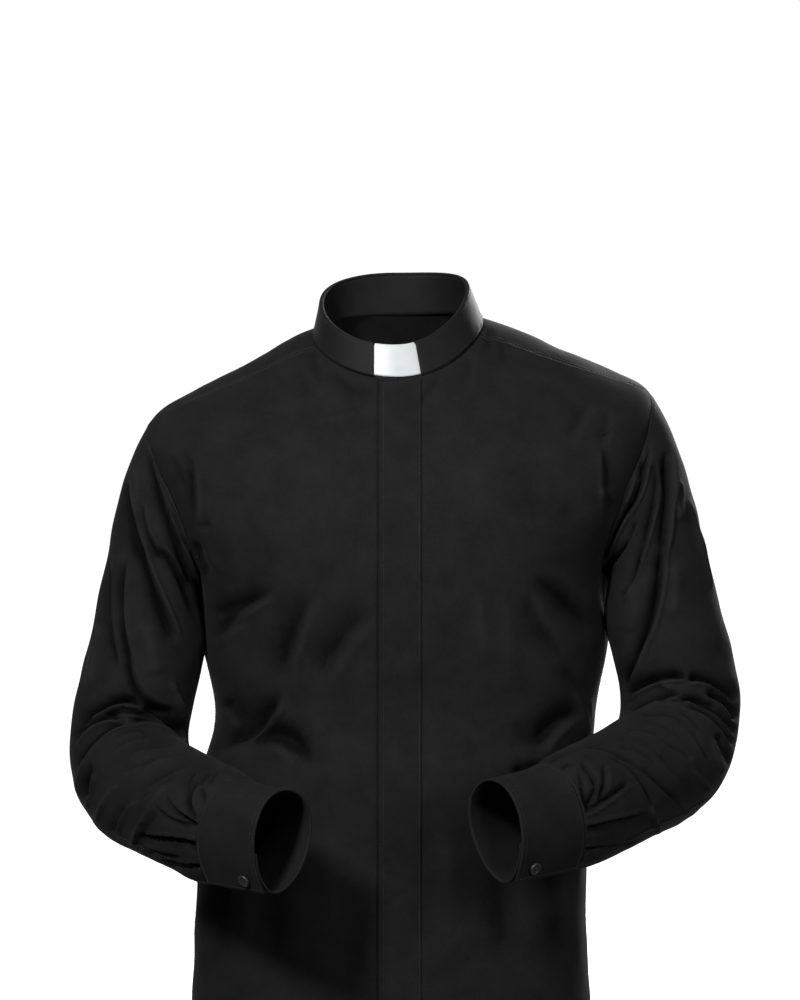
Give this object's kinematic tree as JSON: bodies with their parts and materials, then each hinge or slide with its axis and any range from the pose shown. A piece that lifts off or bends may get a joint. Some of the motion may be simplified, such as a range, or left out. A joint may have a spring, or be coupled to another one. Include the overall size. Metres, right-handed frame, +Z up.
{
  "type": "clergy shirt",
  "caption": "Long-sleeved black clergy shirt with a white tab collar, a covered button front and buttoned cuffs, worn form with bent arms.",
  "frame": {"origin": "middle of the neck opening, level with the neck seam over the shoulders, where the shirt hangs on its wearer", "axes": "+Z up, the shirt faces -Y, its own left side is at +X"},
  "size_m": [0.6117, 0.3834, 0.8351],
  "materials": {
    "cloth": "black cotton poplin, matte with a faint sheen",
    "tab": "white satin plastic strip",
    "button": "black polished button"
  },
  "bodies": {
    "root": {"front_right": "cloth", "front_left": "cloth", "front_placket": "cloth", "back": "cloth", "yoke": "cloth", "collar_stand": "cloth", "collar": "cloth", "tab_insert": "tab", "sleeve_right": "cloth", "sleeve_left": "cloth", "sleeve_placket_right": "cloth", "sleeve_placket_left": "cloth", "cuff_right": "cloth", "cuff_left": "cloth", "cuff_button_right": "button", "cuff_button_left": "button"}
  },
  "joints": []
}
